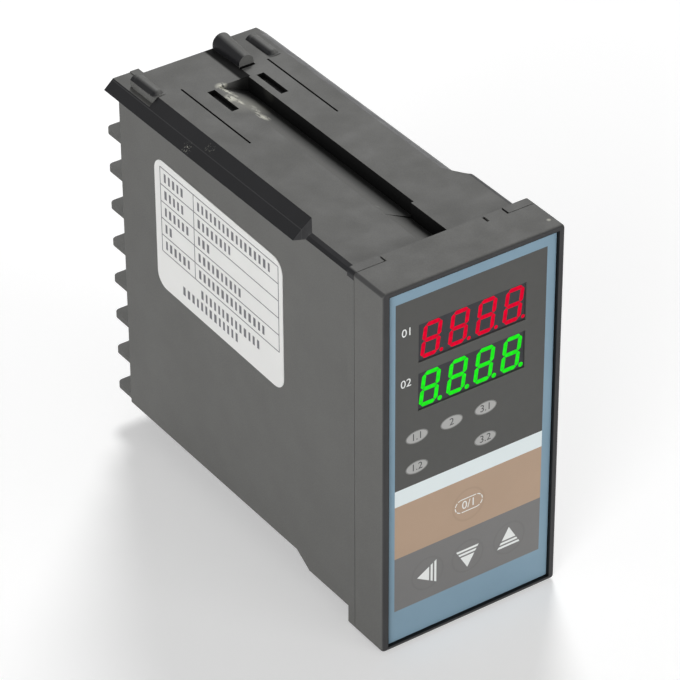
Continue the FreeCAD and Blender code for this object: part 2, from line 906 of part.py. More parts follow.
# ---------------------------------------------------------------- rear block
def barrier_bottoms():
    """Lower face of each barrier between terminals, from the lowest upwards."""
    return [lowest_barrier_top - barrier_thickness + barrier_pitch * i for i in range(terminal_rows)]


def terminal_rows_z():
    """Height of each terminal row."""
    first = lowest_barrier_top + (barrier_pitch - barrier_thickness) / 2
    return [first + barrier_pitch * i for i in range(terminal_rows)]


def barrier(z0, z1):
    """One barrier plate, narrow inside the case and flush with its sides behind it."""
    inside = prism_y(cavity_section(block_fit_gap), block_floor_y, case_side_depth)
    stem = inside.common(box(-half_case_width, half_case_width, block_floor_y, case_side_depth, z0, z1))
    head = box(-half_case_width, half_case_width, case_side_depth, case_full_depth, z0, z1)
    tips = [e for e in head.Edges if is_along(e, Z_AXIS) and e.BoundBox.YMin > case_full_depth - tolerance]
    head = head.makeFillet(barrier_tip_radius, tips)
    plate = stem.fuse(head).removeSplitter()
    return plate.cut(box(-block_spine_half_width, block_spine_half_width, case_full_depth - block_notch_depth,
                         case_full_depth + over, z0 - over, z1 + over))


def terminal_holes(radius, y0, y1):
    """One bar along Y at each terminal."""
    bars = []
    for z in terminal_rows_z():
        for x in (-terminal_x, terminal_x):
            bars.append(hidden_bar(radius, V(x, y0, z), V(x, y1, z)))
    return bars


def rear_terminal_block():
    """Rear moulding: a base that closes the case, and the barriers between the terminals."""
    base_y = block_floor_y - block_base_thickness
    base = prism_y(cavity_section(block_fit_gap), base_y, block_floor_y)
    plates = [barrier(z0, z0 + barrier_thickness) for z0 in barrier_bottoms()]
    body = fuse_all([base] + plates)
    body = body.cut(group(terminal_holes(screw_shank_radius + screw_hole_gap,
                                         block_floor_y - screw_thread_depth, block_floor_y + over)))
    slots = []
    for z in terminal_rows_z():
        for side in (-1, 1):
            x = side * blade_x()
            half_t = contact_blade_thickness / 2 + screw_hole_gap
            half_w = contact_blade_width / 2 + screw_hole_gap
            slots.append(box(x - half_t, x + half_t, base_y - over, block_floor_y + over, z - half_w,
                             z + half_w))
    return body.cut(group(slots))


def blade_x():
    """Contact blades press on the inner face of each long board."""
    return main_board_x - board_thickness / 2 - contact_blade_thickness / 2 - contact_grip_gap


def terminal_contacts(side):
    """Brass contacts of one column: a pad under each screw and a blade that reaches the board."""
    contacts = []
    half = terminal_pad_size / 2
    pad_y1 = block_floor_y + terminal_pad_thickness
    for z in terminal_rows_z():
        x = side * terminal_x
        pad = box(x - half, x + half, block_floor_y, pad_y1, z - half, z + half)
        hole = hidden_bar(screw_shank_radius + screw_hole_gap, V(x, block_floor_y - over, z),
                          V(x, pad_y1 + over, z))
        bx = side * blade_x()
        half_t = contact_blade_thickness / 2
        blade = box(bx - half_t, bx + half_t, side_board_rear_y - contact_reach, pad_y1,
                    z - contact_blade_width / 2, z + contact_blade_width / 2)
        contacts.append(pad.fuse(blade).removeSplitter().cut(hole))
    return group(contacts)


def clamp_plates():
    """Square clamping washers, one under each screw head."""
    y0 = block_floor_y + terminal_pad_thickness
    plates = []
    half = clamp_size / 2
    for z in terminal_rows_z():
        for x in (-terminal_x, terminal_x):
            plate = box(x - half, x + half, y0, y0 + clamp_thickness, z - half, z + half)
            plates.append(plate.cut(hidden_bar(screw_shank_radius + screw_hole_gap, V(x, y0 - over, z),
                                               V(x, y0 + clamp_thickness + over, z))))
    return group(plates)


def terminal_screws():
    """Slotted pan-head screws of the terminals."""
    seat_y = block_floor_y + terminal_pad_thickness + clamp_thickness
    screws = []
    for z in terminal_rows_z():
        for x in (-terminal_x, terminal_x):
            head = rod(screw_head_radius, V(x, seat_y, z), V(x, seat_y + screw_head_height, z))
            shank = hidden_bar(screw_shank_radius, V(x, seat_y - screw_shank_length, z), V(x, seat_y, z))
            slot = box(x - screw_head_radius, x + screw_head_radius,
                       seat_y + screw_head_height - screw_slot_depth, seat_y + screw_head_height + over,
                       z - screw_slot_width / 2, z + screw_slot_width / 2)
            screws.append(head.fuse(shank).cut(slot))
    return group(screws)


# ---------------------------------------------------------------- label
def rating_label():
    """Thin sticker on the left wall."""
    x1 = -half_case_width
    label = box(x1 - label_thickness, x1, label_rear_y - label_length, label_rear_y,
                label_top_z - label_height, label_top_z)
    corners = [e for e in label.Edges if is_along(e, X_AXIS)]
    return label.makeFillet(label_corner_radius, corners)


def build():
    """Every piece by its node name."""
    upper_segments = digit_segments(upper_digit_shift, upper_display_z, upper_point_radius)
    lower_segments = digit_segments(lower_digit_shift, lower_display_z, lower_point_radius)
    nodes = {
        "case_shell": case_shell(),
        "rear_terminal_block": rear_terminal_block(),
        "terminal_contacts_left": terminal_contacts(-1),
        "terminal_contacts_right": terminal_contacts(1),
        "terminal_clamp_plates": clamp_plates(),
        "terminal_screws": terminal_screws(),
        "rating_label": rating_label(),
        "front_bezel": front_bezel(),
        "front_sheet": front_sheet(),
        "upper_display_module": display_module(upper_display_z, upper_segments),
        "upper_display_segments": upper_segments,
        "lower_display_module": display_module(lower_display_z, lower_segments),
        "lower_display_segments": lower_segments,
        "indicator_leds": indicator_leds(),
        "switch_bodies": switch_bodies(),
        "display_board": display_board(),
        "display_board_screws": display_board_screws(),
        "link_headers": link_headers(),
        "logic_board": side_board(-1),
        "power_board": side_board(1),
        "board_spacers": board_spacers(),
        "microcontroller": chip(chip_y, chip_z, chip_width, chip_length, chip_thickness),
        "memory_chip": chip(chip_y, memory_z - memory_length, memory_width, memory_length, memory_thickness),
        "input_amplifier": chip(amplifier_y, amplifier_z, memory_width, memory_length, memory_thickness),
        "transformer_core": transformer_core(),
        "transformer_winding": transformer_winding(),
        "output_relay": relay(relay_upper_z),
        "alarm_relay": relay(relay_lower_z),
        "supply_capacitor": can_capacitor(capacitor_radius, capacitor_length, capacitor_y, capacitor_z),
        "filter_capacitor": can_capacitor(small_capacitor_radius, small_capacitor_length, capacitor_y,
                                          small_capacitor_z),
        "supply_fuse": fuse_link(),
        "surge_absorber": varistor(),
    }
    for name, x, z in key_places():
        nodes["key_" + name] = key_plunger(x, z)
        nodes["switch_pin_" + name] = switch_pin(x, z)
    return nodes


os.makedirs("parts", exist_ok=True)
for node_name, node_shape in build().items():
    node_shape.exportStep("parts/" + node_name + ".step")
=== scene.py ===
"""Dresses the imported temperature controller: materials, film, label, legends, marks, camera and light."""

import json
import math
import random

import bmesh
import bpy
from mathutils import Matrix, Vector


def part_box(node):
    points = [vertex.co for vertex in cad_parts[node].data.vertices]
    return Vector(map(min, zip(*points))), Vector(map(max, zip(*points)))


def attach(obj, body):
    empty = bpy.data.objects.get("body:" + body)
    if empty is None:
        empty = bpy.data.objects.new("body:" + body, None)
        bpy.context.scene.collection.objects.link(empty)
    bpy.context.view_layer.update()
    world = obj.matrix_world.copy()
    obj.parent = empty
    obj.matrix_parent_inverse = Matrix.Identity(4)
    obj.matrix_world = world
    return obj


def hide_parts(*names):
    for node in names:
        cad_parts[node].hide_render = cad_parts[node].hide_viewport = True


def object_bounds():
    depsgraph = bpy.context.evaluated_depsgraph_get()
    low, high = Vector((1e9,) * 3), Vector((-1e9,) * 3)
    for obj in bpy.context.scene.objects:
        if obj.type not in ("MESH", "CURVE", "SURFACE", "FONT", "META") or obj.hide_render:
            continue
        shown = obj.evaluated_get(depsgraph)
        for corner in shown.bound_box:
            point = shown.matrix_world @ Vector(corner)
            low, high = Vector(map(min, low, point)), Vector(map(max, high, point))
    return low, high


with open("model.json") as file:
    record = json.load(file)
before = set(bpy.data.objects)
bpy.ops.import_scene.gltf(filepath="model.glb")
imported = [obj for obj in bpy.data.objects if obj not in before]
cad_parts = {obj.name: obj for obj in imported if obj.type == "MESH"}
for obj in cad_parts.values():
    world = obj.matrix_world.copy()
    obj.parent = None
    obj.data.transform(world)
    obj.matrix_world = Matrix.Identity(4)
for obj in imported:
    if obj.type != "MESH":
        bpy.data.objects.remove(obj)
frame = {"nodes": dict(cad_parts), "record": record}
CAD_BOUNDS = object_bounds()
NODES = frame["nodes"]
MM = 0.001
EDGE_MM = 0.01            # width over which the edge of a band fades
SPOT_CORE = 0.3           # share of a spot's radius that is at full strength
NOISE_SPAN = (0.3, 0.7)   # range that most of a noise lies in
DRIFT_SCALE = 90.0        # scale of the slow drift of a plain finish


def srgb(r, g, b):
    """Linear colour from 8-bit sRGB values."""
    out = []
    for c in (r, g, b):
        c /= 255
        out.append(c / 12.92 if c <= 0.04045 else ((c + 0.055) / 1.055) ** 2.4)
    return (*out, 1.0)


# ------------------------------------------------------------------ shader helpers
class Shader:
    """A material's node tree with short calls for the nodes used here."""

    def __init__(self, name):
        self.material = bpy.data.materials.new(name)
        self.material.use_nodes = True
        self.tree = self.material.node_tree
        self.bsdf = self.tree.nodes["Principled BSDF"]
        self.coords = self.tree.nodes.new("ShaderNodeTexCoord").outputs["Object"]

    def node(self, kind, **values):
        made = self.tree.nodes.new(kind)
        for key, value in values.items():
            setattr(made, key, value)
        return made

    def wire(self, source, target):
        """Link an output to an input, or set the input to a number or a tuple."""
        if isinstance(source, (int, float, tuple)):
            target.default_value = source
        else:
            self.tree.links.new(source, target)

    def math(self, operation, a, b=0.0):
        made = self.node("ShaderNodeMath", operation=operation)
        self.wire(a, made.inputs[0])
        self.wire(b, made.inputs[1])
        return made.outputs[0]

    def noise(self, scale, detail=3.0, roughness=0.5, stretch=None):
        coords = self.coords
        if stretch:
            mapping = self.node("ShaderNodeMapping")
            mapping.inputs["Scale"].default_value = stretch
            self.wire(coords, mapping.inputs["Vector"])
            coords = mapping.outputs[0]
        made = self.node("ShaderNodeTexNoise")
        self.wire(coords, made.inputs["Vector"])
        made.inputs["Scale"].default_value = scale
        made.inputs["Detail"].default_value = detail
        made.inputs["Roughness"].default_value = roughness
        return made.outputs["Fac"]

    def remap(self, value, low, high, to_low=0.0, to_high=1.0, smooth=False):
        made = self.node("ShaderNodeMapRange")
        if smooth:
            made.interpolation_type = "SMOOTHSTEP"
        self.wire(value, made.inputs["Value"])
        for key, number in (("From Min", low), ("From Max", high), ("To Min", to_low), ("To Max", to_high)):
            made.inputs[key].default_value = number
        return made.outputs["Result"]

    def uneven(self, scale, detail, low=0.0, high=1.0):
        """Noise that runs from low to high."""
        return self.remap(self.noise(scale, detail), *NOISE_SPAN, low, high)

    def mix(self, factor, a, b, blend="MIX"):
        made = self.node("ShaderNodeMix", data_type="RGBA", blend_type=blend)
        self.wire(factor, made.inputs[0])
        self.wire(a, made.inputs[6])
        self.wire(b, made.inputs[7])
        return made.outputs[2]

    def axes(self, vector=None):
        made = self.node("ShaderNodeSeparateXYZ")
        self.wire(vector or self.coords, made.inputs[0])
        return made.outputs[0], made.outputs[1], made.outputs[2]

    def normal(self):
        return self.axes(self.tree.nodes.new("ShaderNodeTexCoord").outputs["Normal"])

    def axes_mm(self):
        """Place on the part, in millimetres."""
        made = self.node("ShaderNodeVectorMath", operation="SCALE")
        self.wire(self.coords, made.inputs[0])
        made.inputs["Scale"].default_value = 1 / MM
        return self.axes(made.outputs[0])

    def both(self, first, *others):
        for other in others:
            first = self.math("MULTIPLY", first, other)
        return first

    def most(self, first, *others):
        for other in others:
            first = self.math("MAXIMUM", first, other)
        return first

    def band(self, value, low, high):
        """1 between low and high, and 0 outside."""
        return self.both(self.remap(value, low - EDGE_MM, low),
                         self.remap(value, high, high + EDGE_MM, 1.0, 0.0))

    def spot(self, centre, radius):
        """Soft round spot about a place given in millimetres."""
        made = self.node("ShaderNodeVectorMath", operation="DISTANCE")
        self.wire(self.coords, made.inputs[0])
        made.inputs[1].default_value = tuple(c * MM for c in centre)
        return self.remap(made.outputs["Value"], radius * MM, radius * SPOT_CORE * MM)

    def bump(self, height, distance, strength=1.0, after=None):
        made = self.node("ShaderNodeBump")
        made.inputs["Strength"].default_value = strength
        made.inputs["Distance"].default_value = distance
        self.wire(height, made.inputs["Height"])
        if after is not None:
            self.wire(after, made.inputs["Normal"])
        return made.outputs[0]

    def set(self, **sockets):
        for key, value in sockets.items():
            self.wire(value, self.bsdf.inputs[key.replace("_", " ")])
        return self


def mm_box(node):
    low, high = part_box(node)
    return low / MM, high / MM


def shade_of(colour, factor):
    """A colour made lighter or darker."""
    return (colour[0] * factor, colour[1] * factor, colour[2] * factor, 1.0)


def mottled(shader, colour, spread, scale):
    """Colour that drifts slightly over the surface."""
    return shader.mix(shader.uneven(scale, 4.0), shade_of(colour, 1 - spread), shade_of(colour, 1 + spread))


def plain_material(name, colour, spread=0.06, rough=(0.4, 0.55), grain=1500.0, grain_mm=0.01, metallic=0.0,
                   coat=0.0):
    """Moulded or painted finish: drifting colour, uneven gloss and a fine grain."""
    s = Shader(name)
    s.set(Base_Color=mottled(s, colour, spread, DRIFT_SCALE))
    s.set(Roughness=s.uneven(DRIFT_SCALE * 3, 5.0, *rough))
    s.set(Metallic=metallic, Coat_Weight=coat)
    s.set(Normal=s.bump(s.noise(grain, 2.0), grain_mm * MM))
    return s.material


# ------------------------------------------------------------------ case plastic
CASE_GREY = srgb(104, 104, 102)
TERMINAL_GREY = srgb(98, 98, 96)
# painted shade: this dark on the chamfers and the ridges' left flanks stands in for their dark reflection
# and shade
PAINTED_SHADE_DARK = srgb(28, 28, 30)
# painted shade on the bezel's rim and corners
BEZEL_SHADE_DARK = srgb(58, 58, 59)
# painted shade and shadow: near-black in the slots, on the channel's wall and floor, beside the tall ridge
# and on the bezel's inner walls
PAINTED_SHADOW_DARK = srgb(14, 14, 14)
# painted highlight: a paler line along the edge where the chamfer's two facets meet
CHAMFER_HIGHLIGHT_GREY = srgb(98, 98, 98)
MOULD_MARK_GREY = srgb(150, 150, 148)
RESIDUE = srgb(216, 215, 202)

# Masks of the case. A pair gives where a mask is empty and where it is full: a place in millimetres or,
# for slopes and facings, a part of the normal.
TOP_MM = 46.0
ABOVE_TOP = (TOP_MM + 0.02, TOP_MM + 0.06)
UP_TO_TOP = (TOP_MM + 0.06, TOP_MM + 0.02)
UNDER_TOP = (TOP_MM - 0.03, TOP_MM - 0.07)
CHAMFER_SIDE, CHAMFER_SLOPE = (16.9, 17.1), (0.22, 0.34)
# where the painted highlight runs along the chamfer, and how strong it is
CHAMFER_HIGHLIGHT_LOW, CHAMFER_HIGHLIGHT_HIGH, CHAMFER_HIGHLIGHT_SHARE = 43.93, 44.07, 0.2
# the ridges' left flanks, which get painted shade
RIDGE_FLANK_FACING = (0.1, -0.55)
# the slot floors, which get painted shade
SLOT_INNER, SLOT_OUTER = 5.0, 15.0
SLOT_REAR, SLOT_LOW = (88.2, 88.0), (TOP_MM - 1.9, TOP_MM - 1.85)
# the channel: painted shade on its left-facing wall, and painted shadow that darkens its floor towards that
# wall
CHANNEL_SIDE, CHANNEL_LOW, CHANNEL_WALL_FACING = (4.6, 4.5), (40.5, 41.0), (-0.5, -0.8)
CHANNEL_SHADOW_FADE, CHANNEL_SHADOW_MOST = (-2.4, 2.8), 0.92
# the painted shadow beside the tall ridge, a dark band
RIDGE_SHADOW_LEFT, RIDGE_SHADOW_RIGHT = (1.9, 2.5), (4.9, 4.8)
RIDGE_SHADOW_FRONT, RIDGE_SHADOW_REAR, RIDGE_SHADOW_LOW = (80.0, 80.2), (95.6, 95.5), (TOP_MM - 0.3, TOP_MM - 0.2)

# marks of use: places, radii in millimetres, and how much they cover
GLUE_X, GLUE_REAR_Y, GLUE_FRONT_Y, GLUE_Z = -2.0, 80.0, 65.0, TOP_MM - 0.4
GLUE_COUNT, GLUE_SPREAD, GLUE_SMALL, GLUE_LARGE = 9, 1.9, 1.2, 2.4
HAZE_PLACE, HAZE_RADIUS, HAZE_SHARE = (-1.6, 72.0, GLUE_Z), 6.5, 0.22
SCUFFS, SCUFF_SHARE = [((-21.4, 66.4, 43.2), 1.8), ((-19.0, 60.5, 45.0), 1.6)], 0.4
MOULD_MARK, MOULD_MARK_RADIUS, MOULD_MARK_SHARE = (-2.3, 19.3, TOP_MM - 0.3), 0.9, 0.5
BEZEL_MARK, BEZEL_MARK_RADIUS, BEZEL_MARK_SHARE = (22.0, -9.7, 48.0), 0.6, 0.7

# masks of the bezel, as pairs too
BEZEL_FRONT = mm_box("front_bezel")[0].y
# the bezel's rim, corners and inner walls, which get painted shade
RIM_FACING, RIM_DEPTH = (-0.35, -0.8), (BEZEL_FRONT + 0.75, BEZEL_FRONT + 0.65)
INNER_SIDE, INNER_HEIGHT = (22.45, 22.4), (46.95, 46.9)
INNER_DEPTH = (BEZEL_FRONT + 3.0, BEZEL_FRONT + 2.9)
CORNER_SLOPE, CORNER_SHARE = (0.1, 0.3), 0.8

POLISH, DULLNESS = -0.25, 0.35   # what polished and dull faces add to the roughness


def glue_spots():
    """Places and radii of the dried glue beside the channel, scattered along a line towards the front."""
    chance = random.Random(3)
    for i in range(GLUE_COUNT):
        y = GLUE_REAR_Y + (GLUE_FRONT_Y - GLUE_REAR_Y) * i / (GLUE_COUNT - 1)
        yield GLUE_X + chance.uniform(-GLUE_SPREAD, GLUE_SPREAD), y, chance.uniform(GLUE_SMALL, GLUE_LARGE)


def textured_base(s, grey):
    """Spark-eroded grey with a fine speckle."""
    speck = s.remap(s.noise(3800.0, 2.0), 0.35, 0.65, 0.93, 1.07)
    shade = s.node("ShaderNodeCombineXYZ")
    for i in range(3):
        s.wire(speck, shade.inputs[i])
    return s.mix(1.0, mottled(s, grey, 0.035, 45.0), shade.outputs[0], "MULTIPLY")


def plastic_finish(s, shaded_and_polished, dull=None):
    """Gloss and grain of the case and the bezel; the faces that carry painted shade have a polish and are
    smoother, and dull ones rougher.
    """
    rough = s.uneven(160.0, 4.0, 0.6, 0.72)
    change = s.math("MULTIPLY_ADD", shaded_and_polished, POLISH)
    s.wire(0.0 if dull is None else s.math("MULTIPLY", dull, DULLNESS), change.node.inputs[2])
    s.set(Roughness=s.math("ADD", rough, change), Specular_IOR_Level=0.15)
    grain = s.bump(s.noise(2600.0, 3.0, 0.6), 0.02 * MM, 0.6)
    s.set(Normal=s.bump(s.noise(60.0, 2.0), 0.05 * MM, 0.3, after=grain))


def with_marks(s, base, on_top):
    """The colour with dried glue and its haze, the scuffs on the left chamfer and the pale mould mark."""
    crumbs = s.remap(s.noise(900.0, 4.0, 0.65, stretch=(1.0, 0.6, 1.0)), 0.42, 0.5)
    glue = s.most(*[s.spot((x, y, GLUE_Z), radius) for x, y, radius in glue_spots()])
    base = s.mix(s.both(glue, crumbs, on_top), base, RESIDUE)
    base = s.mix(s.both(s.spot(HAZE_PLACE, HAZE_RADIUS), HAZE_SHARE, on_top), base, RESIDUE)
    scuffed = s.most(*[s.spot(place, radius) for place, radius in SCUFFS])
    specks = s.remap(s.noise(2400.0, 3.0), 0.56, 0.66)
    base = s.mix(s.both(scuffed, specks, SCUFF_SHARE), base, RESIDUE)
    return s.mix(s.both(s.spot(MOULD_MARK, MOULD_MARK_RADIUS), MOULD_MARK_SHARE), base, MOULD_MARK_GREY)


def case_material(name, grey):
    """Textured plastic. Painted shade darkens the chamfers and the ridges' left flanks, which also have a
    polish, standing in for their dark reflection and shade; painted shade darkens the slots and the
    channel's wall, and painted shadow the channel's floor and the band beside the tall ridge.
    """
    s = Shader(name)
    x, y, z = s.axes_mm()
    nx, _, nz = s.normal()
    side = s.math("ABSOLUTE", x)
    slope = s.math("ABSOLUTE", s.math("MULTIPLY", nx, nz))
    under_top = s.remap(z, *UNDER_TOP)
    chamfer = s.both(s.remap(slope, *CHAMFER_SLOPE), s.remap(s.math("ABSOLUTE", z), *UP_TO_TOP),
                     s.remap(side, *CHAMFER_SIDE))
    flank = s.both(s.remap(nx, *RIDGE_FLANK_FACING), s.remap(z, *ABOVE_TOP))
    # painted shadow beside the tall ridge
    ridge_shadow = s.both(s.remap(x, *RIDGE_SHADOW_LEFT), s.remap(x, *RIDGE_SHADOW_RIGHT), s.remap(y, *RIDGE_SHADOW_FRONT),
                    s.remap(y, *RIDGE_SHADOW_REAR), s.remap(z, *RIDGE_SHADOW_LOW), s.remap(z, *UP_TO_TOP))
    slots = s.both(s.band(side, SLOT_INNER, SLOT_OUTER), under_top, s.remap(z, *SLOT_LOW),
                   s.remap(y, *SLOT_REAR))
    channel = s.both(s.remap(side, *CHANNEL_SIDE), s.remap(z, *CHANNEL_LOW), under_top)
    # painted shade on the channel's left-facing wall, and painted shadow on its floor, darker towards the
    # wall
    wall = s.both(channel, s.remap(nx, *CHANNEL_WALL_FACING))
    channel_shadow = s.both(channel, s.remap(x, *CHANNEL_SHADOW_FADE, 0.0, CHANNEL_SHADOW_MOST, smooth=True))
    # painted shade on the chamfers and the ridges' left flanks, standing in for dark reflection and shade
    shaded_and_polished = s.most(chamfer, flank)
    base = s.mix(shaded_and_polished, textured_base(s, grey), mottled(s, PAINTED_SHADE_DARK, 0.1, 120.0))
    # painted highlight along the edge between the chamfer's two facets
    base = s.mix(s.both(chamfer, s.band(z, CHAMFER_HIGHLIGHT_LOW, CHAMFER_HIGHLIGHT_HIGH), CHAMFER_HIGHLIGHT_SHARE), base, CHAMFER_HIGHLIGHT_GREY)
    # painted shade in the slots and on the channel's wall; painted shadow on the channel's floor and beside
    # the tall ridge
    base = s.mix(s.most(slots, wall, channel_shadow, ridge_shadow), base, PAINTED_SHADOW_DARK)
    s.set(Base_Color=with_marks(s, base, s.math("SUBTRACT", 1.0, slots)))
    plastic_finish(s, shaded_and_polished, ridge_shadow)
    return s.material


def bezel_material(name, grey):
    """Textured plastic; painted shade darkens its rim, corners and inner walls, and its top has a pale mark.
    """
    s = Shader(name)
    x, y, z = s.axes_mm()
    nx, ny, nz = s.normal()
    rim = s.both(s.remap(ny, *RIM_FACING), s.remap(y, *RIM_DEPTH))
    inside = s.both(s.remap(s.math("ABSOLUTE", x), *INNER_SIDE),
                    s.remap(s.math("ABSOLUTE", z), *INNER_HEIGHT), s.remap(y, *INNER_DEPTH))
    slope = s.math("ABSOLUTE", s.math("MULTIPLY", nx, nz))
    corner = s.both(s.remap(slope, *CORNER_SLOPE), CORNER_SHARE)
    # painted shade on the rim and corners
    base = s.mix(s.most(rim, corner), textured_base(s, grey), mottled(s, BEZEL_SHADE_DARK, 0.08, 120.0))
    # painted shade on the inner walls
    base = s.mix(inside, base, PAINTED_SHADOW_DARK)
    base = s.mix(s.both(s.spot(BEZEL_MARK, BEZEL_MARK_RADIUS), BEZEL_MARK_SHARE), base, RESIDUE)
    s.set(Base_Color=base)
    plastic_finish(s, s.most(rim, inside, corner))
    return s.material


# ------------------------------------------------------------------ materials of the CAD nodes
MATERIALS = {
    "case_plastic": case_material("case_plastic_textured", CASE_GREY),
    "terminal_plastic": case_material("terminal_plastic_textured", TERMINAL_GREY),
    "key_plastic": plain_material("key_plastic_ivory", srgb(196, 192, 178), rough=(0.4, 0.5)),
    "component_black": plain_material("component_moulding", srgb(34, 34, 35), spread=0.12,
                                      rough=(0.45, 0.6)),
    "relay_plastic": plain_material("relay_cover", srgb(28, 62, 120), rough=(0.3, 0.42)),
    "coil_tape": plain_material("coil_tape_wrap", srgb(214, 178, 62), spread=0.1, rough=(0.3, 0.4),
                                coat=0.2),
    "core_steel": plain_material("core_lamination", srgb(120, 118, 114), metallic=0.8, rough=(0.4, 0.55)),
    "fuse_ceramic": plain_material("fuse_body", srgb(226, 222, 210), rough=(0.25, 0.35)),
    "absorber_coat": plain_material("absorber_dip", srgb(30, 74, 150), rough=(0.28, 0.36), coat=0.4),
    "capacitor_sleeve": plain_material("capacitor_shrink_sleeve", srgb(30, 32, 44), rough=(0.22, 0.3),
                                       coat=0.3),
    "label_paper": plain_material("label_film", srgb(232, 232, 230), spread=0.015, rough=(0.42, 0.5),
                                  grain=900.0,
                                  grain_mm=0.004),
    "steel": plain_material("plated_steel", srgb(196, 194, 188), spread=0.08, metallic=1.0,
                            rough=(0.24, 0.4)),
    "contact_brass": plain_material("tinned_brass", srgb(206, 186, 128), spread=0.1, metallic=1.0,
                                    rough=(0.26, 0.42)),
}


def board_material():
    """Green solder mask with paler tracks under it."""
    s = Shader("board_solder_mask")
    tracks = s.node("ShaderNodeTexBrick")
    s.wire(s.coords, tracks.inputs["Vector"])
    tracks.inputs["Scale"].default_value = 180.0
    tracks.inputs["Mortar Size"].default_value = 0.03
    tracks.inputs["Color1"].default_value = srgb(22, 84, 44)
    tracks.inputs["Color2"].default_value = srgb(18, 74, 38)
    tracks.inputs["Mortar"].default_value = srgb(44, 120, 60)
    s.set(Base_Color=s.mix(s.remap(s.noise(70.0), 0.35, 0.65), tracks.outputs["Color"], srgb(20, 78, 40)))
    s.set(Roughness=s.uneven(300.0, 3.0, 0.25, 0.4), Coat_Weight=0.3)
    s.set(Normal=s.bump(tracks.outputs["Fac"], 0.03 * MM))
    return s.material


MATERIALS["circuit_board"] = board_material()


def display_material():
    """Smoked face of a display module, nearly black."""
    s = Shader("display_smoked_face")
    s.set(Base_Color=mottled(s, srgb(50, 50, 54), 0.08, 200.0))
    s.set(Roughness=s.uneven(420.0, 3.0, 0.34, 0.44), Specular_IOR_Level=0.2)
    s.set(Normal=s.bump(s.noise(700.0), 0.004 * MM))
    return s.material


MATERIALS["display_face"] = display_material()


def light_material(name, bright, dim):
    """Lit segment whose colour drifts between two shades; the body under it is nearly black."""
    s = Shader(name)
    glow = s.mix(s.remap(s.noise(900.0), 0.35, 0.65), dim, bright)
    s.set(Base_Color=srgb(12, 10, 10), Roughness=0.6, Specular_IOR_Level=0.0, Emission_Color=glow,
          Emission_Strength=1.0)
    s.set(Normal=s.bump(s.noise(1500.0), 0.003 * MM))
    return s.material


MATERIALS["red_light"] = light_material("segment_red_lit", srgb(236, 0, 46), srgb(206, 4, 46))
MATERIALS["green_light"] = light_material("segment_green_lit", srgb(30, 248, 30), srgb(30, 226, 32))
MATERIALS["lamp_lens"] = plain_material("lamp_clear_resin", srgb(206, 208, 200), rough=(0.12, 0.2), coat=0.3)

for entry in frame["record"]["subparts"]:
    made = MATERIALS.get(entry.get("material_slot"))
    target = NODES.get(entry["node"])
    if made is not None and target is not None:
        if not target.material_slots:
            target.data.materials.append(made)
        for place in target.material_slots:
            place.material = made
for place in NODES["front_bezel"].material_slots:
    place.material = bezel_material("bezel_plastic_textured", CASE_GREY)


# ------------------------------------------------------------------ mesh helpers
def finish_mesh(name, build, materials, body, smooth=False):
    """Object from a bmesh, riding on a body; build gets the empty bmesh, in millimetres."""
    bm = bmesh.new()
    build(bm)
    bmesh.ops.recalc_face_normals(bm, faces=bm.faces)
    bmesh.ops.transform(bm, matrix=Matrix.Scale(MM, 4), verts=bm.verts)
    mesh = bpy.data.meshes.new(name)
    bm.to_mesh(mesh)
    bm.free()
    for face in mesh.polygons:
        face.use_smooth = smooth
    for made in materials:
        mesh.materials.append(made)
    piece = bpy.data.objects.new(name, mesh)
    bpy.context.scene.collection.objects.link(piece)
    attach(piece, body)
    return piece


def slab(bm, points, near, far, place, index=0):
    """Thin plate through flat points; place turns (u, v, depth) into a position."""
    front = [bm.verts.new(place(u, v, near)) for u, v in points]
    rear = [bm.verts.new(place(u, v, far)) for u, v in points]
    faces = [bm.faces.new(front), bm.faces.new(list(reversed(rear)))]
    count = len(points)
    for i in range(count):
        faces.append(bm.faces.new((front[i], rear[i], rear[(i + 1) % count], front[(i + 1) % count])))
    for face in faces:
        face.material_index = index


def on_front(u, v, depth):
    """Place on a plane that faces the front."""
    return u, depth, v


def ellipse(cx, cy, a, b, count=48):
    return [(cx + a * math.cos(t * math.tau / count), cy + b * math.sin(t * math.tau / count))
            for t in range(count)]


def rectangle(x0, x1, y0, y1):
    return [(x0, y0), (x1, y0), (x1, y1), (x0, y1)]


# ------------------------------------------------------------------ printed film on the front
INK_MM = 0.012    # how far a print stands proud
LAP_MM = 0.002    # how far a print sinks into the film, or stands proud of the print under it
# the rings of painted shade round the keys: their centres, then radius, width, strength and darkening
KEY_HALOS = [(-11.2, -31.4), (-0.2, -31.4), (11.3, -31.4), (-0.2, -17.0)]
HALO_RADIUS, HALO_WIDTH, HALO_SHARE, HALO_SHADE = 4.2, 0.45, 0.3, 0.72
sheet_low, sheet_high = mm_box("front_sheet")


def ink(name, colour, spread=0.03, halos=False):
    """Screen-printed ink under a satin film, with a faint ring of painted shade round each key, standing in
    for the shading of an embossed rim.
    """
    s = Shader(name)
    base = mottled(s, colour, spread, 60.0)
    if halos:
        rings = []
        for x, z in KEY_HALOS:
            away = s.node("ShaderNodeVectorMath", operation="DISTANCE")
            s.wire(s.coords, away.inputs[0])
            away.inputs[1].default_value = (x * MM, sheet_low.y * MM, z * MM)
            off = s.math("ABSOLUTE", s.math("SUBTRACT", away.outputs["Value"], HALO_RADIUS * MM))
            rings.append(s.remap(off, HALO_WIDTH * MM, 0.0, smooth=True))
        # painted shade along the ring round each key
        base = s.mix(s.both(s.most(*rings), HALO_SHARE), base, shade_of(colour, HALO_SHADE))
    s.set(Base_Color=base)
    s.set(Roughness=s.uneven(500.0, 4.0, 0.42, 0.52), Specular_IOR_Level=0.35)
    s.set(Normal=s.bump(s.noise(1400.0, 2.0), 0.006 * MM, 0.7))
    return s.material


